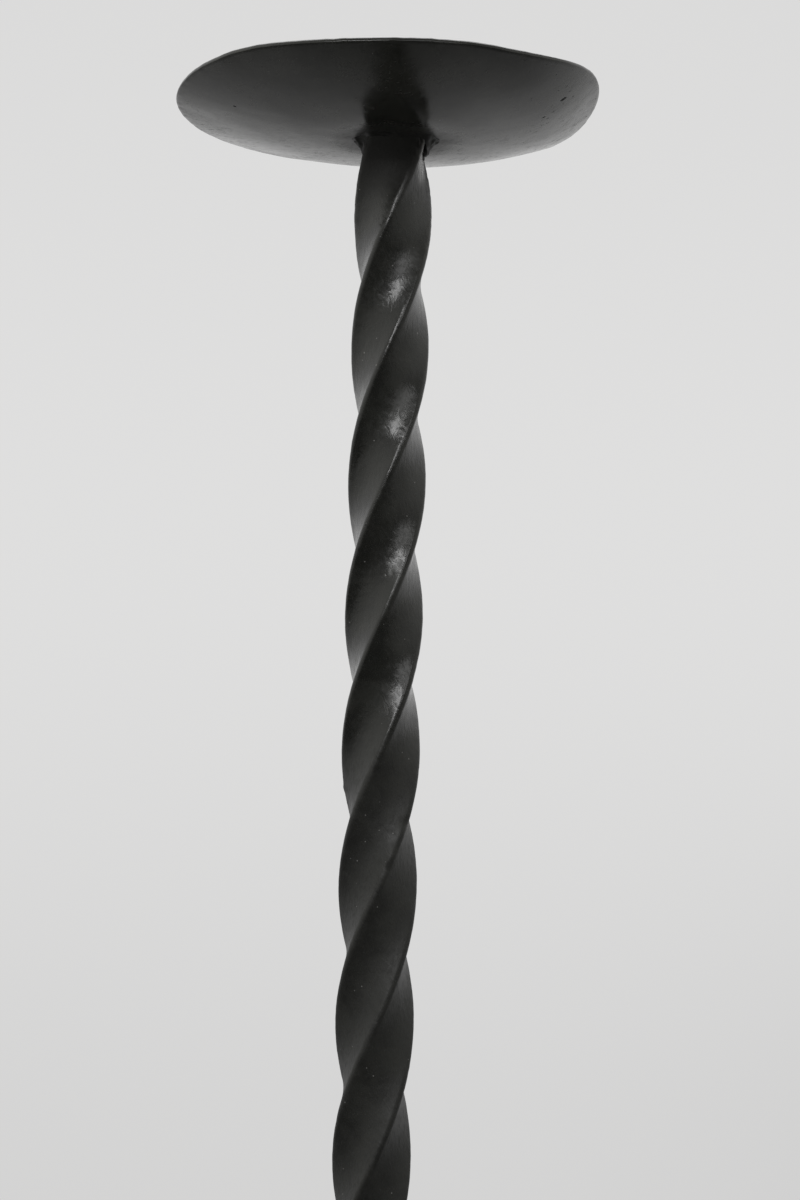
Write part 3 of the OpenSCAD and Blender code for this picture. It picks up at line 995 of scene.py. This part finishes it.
def make_rivet(name, azimuth, seed, material):
    """A round bar through legs and stem with a domed, hammered head at each end."""
    z = sum(corner.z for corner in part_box(name)) / 2
    flat = STEM_SIDE / 2 + LEG_SIDE
    dome_r = (RIVET_HEAD_R ** 2 + RIVET_HEAD_H ** 2) / (2 * RIVET_HEAD_H)
    dome_low = math.degrees(math.acos(RIVET_HEAD_R / dome_r))
    half = [(RIVET_R, 0), (RIVET_R, flat), (RIVET_HEAD_R - 0.4 * MM, flat)]
    half += arc((0, flat + RIVET_HEAD_H - dome_r), dome_r, dome_low, 88, 18)
    half = dense(half, 1.0 * MM)
    line = [(r, -h) for r, h in half[::-1]] + [(r, h) for r, h in half[1:]]
    piece = turned(name + "_bar", line, 48)
    p = points_of(piece)
    away = np.abs(p[:, 2])
    head = ease(away, flat + 0.3 * MM, flat + 1.2 * MM)
    move_out(piece, dents(p, *RIVET_DENTS, seed) * head)
    set_map(piece, "wear", ease(away, flat + 2.5 * MM, flat + 4.5 * MM))
    lie = Matrix.Translation((0, 0, z)) @ Matrix.Rotation(math.radians(azimuth), 4, "Z")
    piece.data.transform(lie @ Matrix.Rotation(math.pi / 2, 4, "Y"))
    dress(piece, name, material, 60)


def make_finial(material):
    """Flange, neck, ball and bead under the stem, with the tenon up into it."""
    flange_low = STEM_LOW - FINIAL_FLANGE_T
    neck_sink = FINIAL_NECK_R / 4
    ball_z = flange_low - FINIAL_NECK_LEN - FINIAL_R + neck_sink
    bead_z = FINIAL_LOW + FINIAL_BEAD_R
    meet_z = ball_z - FINIAL_R + 0.7 * MM
    bead_end = math.degrees(math.asin((meet_z - bead_z) / FINIAL_BEAD_R))
    ball_start = math.degrees(math.asin((meet_z - ball_z) / FINIAL_R))
    ball_end = math.degrees(math.acos(FINIAL_NECK_R / FINIAL_R))
    line = arc((0, bead_z), FINIAL_BEAD_R, -88, bead_end, 18)
    line += arc((0, ball_z), FINIAL_R, ball_start, ball_end, 40)
    line += [(FINIAL_NECK_R, flange_low - 1.2 * MM), (FINIAL_NECK_R + 1.2 * MM, flange_low)]
    line += [(FINIAL_FLANGE_R - 0.8 * MM, flange_low), (FINIAL_FLANGE_R, flange_low + 0.8 * MM)]
    line += [(FINIAL_FLANGE_R, STEM_LOW), (SHANK_R, STEM_LOW)]
    line += [(SHANK_R, STEM_LOW + FINIAL_TENON_LEN)]
    piece = turned("finial_ball", dense(line, 1.0 * MM), 110)
    p = points_of(piece)
    body = ease(STEM_LOW - p[:, 2], 0, 2 * MM) * ease(p[:, 2] - FINIAL_LOW, 0, 2 * MM)
    move_out(piece, dents(p, *FINIAL_DENTS) * body)
    set_map(piece, "wear", bell(p[:, 2] - ball_z, 3 * MM) * 0.4)
    dress(piece, "finial", material, 60)


# ---- studio
WALL_Y = 2.4
WALL_BEND = 0.6
WALL_TOP = 4.2
STUDIO_HALF = 5.0
FLOOR_FRONT = -4.0
# The backdrop is palest half way up and falls off softly towards the floor and the top, as painted
# shade
GLOW_PEAK = 0.735
GLOW_HEIGHT = 1.35
GLOW_LOSS_LOW = 0.09
GLOW_LOSS_HIGH = 0.03
GLOW_TOP = 2.4
# painted shade: the backdrop is made darker low down on the right
CORNER_DIM = 0.06                  # how much darker it is low down on the right
FLOOR_GLOW = 0.40
FLOOR_ENDS = 0.14                  # the floor's look turns into the wall's up to this height
PAPER = (0.60, 0.64)               # greys of the paper's faint clouds
PAPER_CLOUDS = 3.0
WARMTH = 0.003
# What metal mirrors of it: from, to and the levels there, by depth on the floor and by height
MIRRORED_FLOOR = (-0.7, 2.2, 0.07, 0.41)
MIRRORED_WALL = (0.15, 1.25, 0.41, 0.72)
ROOM_LEAST = 0.09
ROOM_TINT = (1.0, 1.0, 0.96, 1)
ROOM_SEEN = 0.72                   # grey that the camera sees past the backdrop's edges


def backdrop_glow(n, height):
    """Grey of the backdrop as the camera sees it."""
    below = n.ramp(height, GLOW_HEIGHT, 0.0)
    above = n.ramp(height, GLOW_HEIGHT, GLOW_TOP)
    level = n.sum((below, -GLOW_LOSS_LOW), (above, -GLOW_LOSS_HIGH), (1.0, GLOW_PEAK))
    return n.mix(level, grey(0.0), grey(1.0, WARMTH))


def backdrop_sheet():
    """The floor in front, the bend behind the stand and the wall, in one sheet."""
    sweep = [(FLOOR_FRONT, 0.0)]
    for a in np.linspace(0, math.pi / 2, 25):
        sweep.append((WALL_Y - WALL_BEND + WALL_BEND * math.sin(a), WALL_BEND * (1 - math.cos(a))))
    sweep.append((WALL_Y, WALL_TOP))
    vertices = [(x, y, z) for y, z in sweep for x in (-STUDIO_HALF, STUDIO_HALF)]
    faces = [(2 * i, 2 * i + 1, 2 * i + 3, 2 * i + 2) for i in range(len(sweep) - 1)]
    return link("backdrop", vertices, faces)


def paper_seen(n, side, height, rise, diffuse):
    """What the camera sees: a pale wall with painted shade towards the floor, the top and low on
    the right, and a floor that keeps the stand's shadow.
    """
    corner = n.both(n.ramp(side, 0.1, 1.2), n.ramp(height, 1.1, 0.3))
    wall = n.mix(n.both(corner, CORNER_DIM), backdrop_glow(n, height), grey(0.0))
    floor_light = n.light(grey(FLOOR_GLOW, WARMTH))
    floor_seen = n.add("ShaderNodeAddShader", {0: diffuse, 1: floor_light}).outputs[0]
    return n.blend(rise, floor_seen, n.light(wall))


def paper_mirrored(n, side, depth, height, rise):
    """What metal mirrors: the same backdrop, dimmer where the floor runs out in front, and low
    down a little dimmer behind the stand and lighter to the right."""
    levels = {0: rise, 2: n.ramp(depth, *MIRRORED_FLOOR), 3: n.ramp(height, *MIRRORED_WALL)}
    level = n.add("ShaderNodeMix", levels, data_type="FLOAT").outputs[0]
    uneven = n.sum((n.ramp(side, -0.8, -0.2), -0.26), (n.ramp(side, 0.05, 0.45), 0.48))
    low = n.both(n.ramp(height, 1.0, 0.3), uneven)
    return n.light(grey(1.0, WARMTH), n.both(level, n.sum((low, 1.0), (1.0, 1.0))))


def make_backdrop():
    backdrop = backdrop_sheet()
    material = bpy.data.materials.new("backdrop_paper")
    material.use_nodes = True
    n = Nodes(material.node_tree)
    where = n.add("ShaderNodeTexCoord").outputs["Object"]
    side, depth, height = (n.part(where, axis) for axis in range(3))
    rise = n.ramp(height, 0.0, FLOOR_ENDS)
    clouds = n.ramp(n.noise(where, PAPER_CLOUDS, 3.0, 0.5), 0.3, 0.7)
    paper = n.mix(clouds, *(grey(level) for level in PAPER))
    diffuse = n.add("ShaderNodeBsdfDiffuse", {"Color": paper}).outputs[0]
    path = n.add("ShaderNodeLightPath").outputs
    to_camera = path["Is Camera Ray"]
    glossy = n.either(path["Is Glossy Ray"], path["Is Transmission Ray"])
    shader = n.blend(to_camera, diffuse, paper_seen(n, side, height, rise, diffuse))
    shader = n.blend(glossy, shader, paper_mirrored(n, side, depth, height, rise))
    # seen from behind or from below, the paper is left out
    behind = n.add("ShaderNodeNewGeometry").outputs["Backfacing"]
    clear = n.add("ShaderNodeBsdfTransparent").outputs[0]
    shader = n.blend(n.both(behind, to_camera), shader, clear)
    n.add("ShaderNodeOutputMaterial", {0: shader})
    backdrop.data.materials.append(material)


def make_room():
    """The dim room in front of the backdrop: lighter above and to the left."""
    world = bpy.data.worlds.new("studio_room")
    scene.world = world
    world.use_nodes = True
    n = Nodes(world.node_tree)
    toward = n.add("ShaderNodeTexCoord").outputs["Generated"]
    x, z = n.part(toward, 0), n.part(toward, 2)
    left = n.both(n.ramp(x, -0.2, -1.0), n.ramp(z, -0.4, 0.25, 0.33, 0.70))
    right = n.ramp(x, 0.5, 1.0)
    up = n.ramp(z, -0.25, 0.75)
    level = n.sum((up, 0.24), (left, 1.0), (right, 0.26), (n.both(right, up), 0.35),
                  (1.0, ROOM_LEAST))
    room = n.add("ShaderNodeBackground", {"Color": ROOM_TINT, "Strength": level}).outputs[0]
    pale = {"Color": grey(ROOM_SEEN, WARMTH), "Strength": 1.0}
    pale = n.add("ShaderNodeBackground", pale).outputs[0]
    path = n.add("ShaderNodeLightPath").outputs
    n.add("ShaderNodeOutputWorld", {0: n.blend(path["Is Camera Ray"], room, pale)})
    scene.view_settings.view_transform = "Standard"


def area_light(name, place, aim, size, watts):
    data = bpy.data.lights.new(name, "AREA")
    data.shape = "RECTANGLE"
    data.size, data.size_y = size
    data.energy = watts
    lamp = bpy.data.objects.new(name, data)
    lamp.location = place
    lamp.rotation_euler = (Vector(aim) - Vector(place)).to_track_quat("-Z", "Y").to_euler()
    scene.collection.objects.link(lamp)


def make_lamps():
    shaft = (0, 0, 1.15)
    area_light("window", place=(-0.80, -2.89, 2.50), aim=shaft, size=(1.5, 0.60), watts=24)
    area_light("second_window", place=(1.02, -2.82, 2.40), aim=shaft, size=(1.5, 0.9), watts=9)
    area_light("top_fill", place=(0.0, 0.6, 3.4), aim=(0, 0, 0.4), size=(2.4, 1.8), watts=40)


make_camera()
make_backdrop()
make_room()
make_lamps()

stem_iron = iron("stem_iron", grain_map="bar_map", extra=stem_marks)
pan_iron = iron("pan_iron", tone=0.012, rough=(0.16, 0.24), grain=0.35, wear=0.2, mottle=35.0,
                dusty=0.01, gritty=0.05, streaky=0.4, extra=pan_marks)
weld_iron = iron("weld_iron", tone=0.010, rough=(0.50, 0.70), grain=1.6, wear=0.05, mottle=180.0,
                 gloss=0.35)
leg_iron = iron("leg_iron", tone=0.012, rough=(0.26, 0.40), grain=1.3, wear=0.4)
worked_iron = iron("worked_iron", tone=0.012, rough=(0.26, 0.40), grain=1.2, wear=0.55)
spike_iron = iron("spike_iron", tone=0.030, rough=(0.28, 0.42), grain=1.0, wear=0.9)

make_stem(stem_iron)
make_pan(pan_iron)
make_weld(weld_iron)
make_rest(worked_iron)
make_pricket(spike_iron)
for corner, azimuth in CORNERS.items():
    make_leg("leg_" + corner, azimuth, leg_iron)
    make_foot("foot_" + corner, azimuth, worked_iron)
for collar, seed in COLLAR_SEEDS.items():
    make_collar(collar, seed, worked_iron)
for number, (rivet, azimuth) in enumerate(RIVETS.items()):
    make_rivet(rivet, azimuth, FIRST_RIVET_SEED + number, worked_iron)
make_finial(worked_iron)
